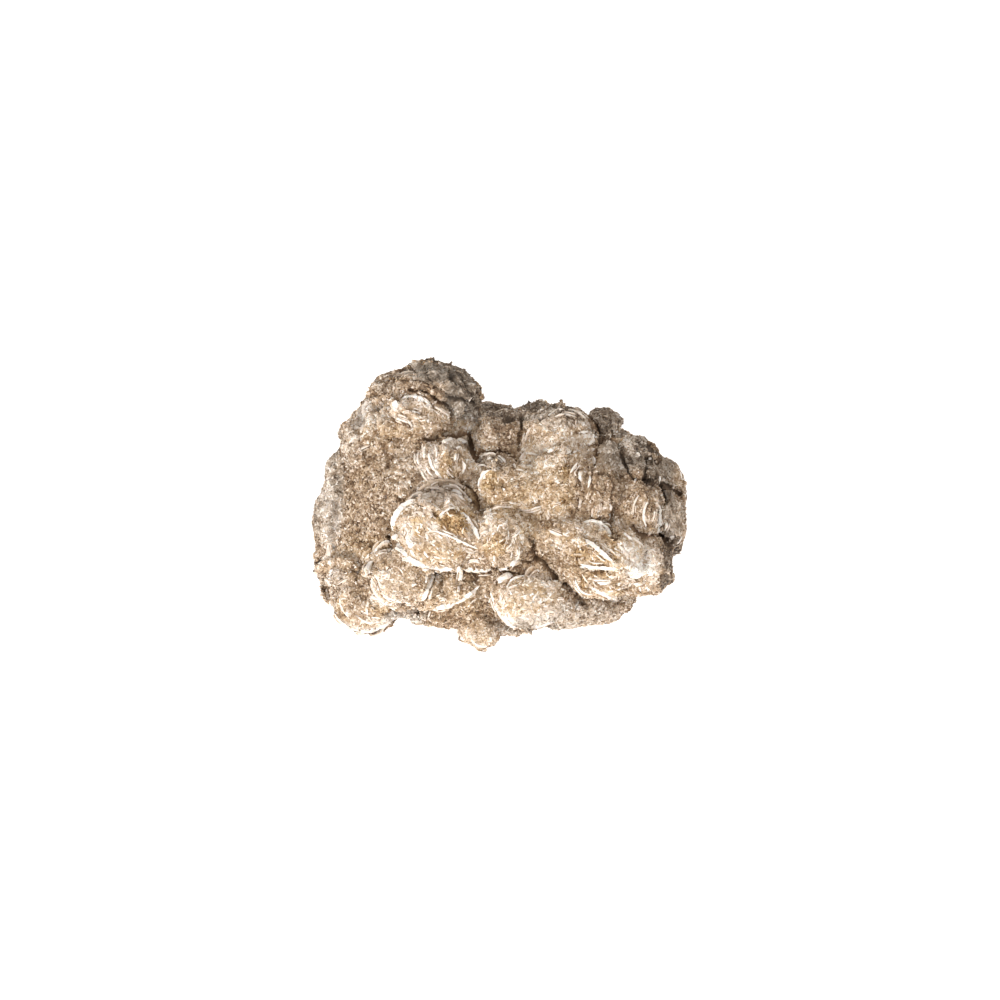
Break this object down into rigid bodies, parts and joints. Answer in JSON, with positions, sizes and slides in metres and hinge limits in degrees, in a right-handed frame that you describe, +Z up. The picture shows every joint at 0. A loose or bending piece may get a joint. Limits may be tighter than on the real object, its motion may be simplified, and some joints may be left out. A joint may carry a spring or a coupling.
{
  "type": "gypsum sand rose",
  "caption": "Cluster of sand-filled gypsum rosettes grown together, with crossing lens-shaped blades and a flat underside to rest on.",
  "frame": {"origin": "on the flat underside, near the middle of it", "axes": "+X along the longest side, +Y towards the back, +Z up; the side with the best rosettes faces up and towards -Y"},
  "size_m": [0.0903, 0.0716, 0.0416],
  "materials": {
    "gypsum": "rough sandy gypsum, honey to tan, with translucent blades and frosty white edges"
  },
  "bodies": {
    "root": {"sand_rose": "gypsum"}
  },
  "joints": []
}
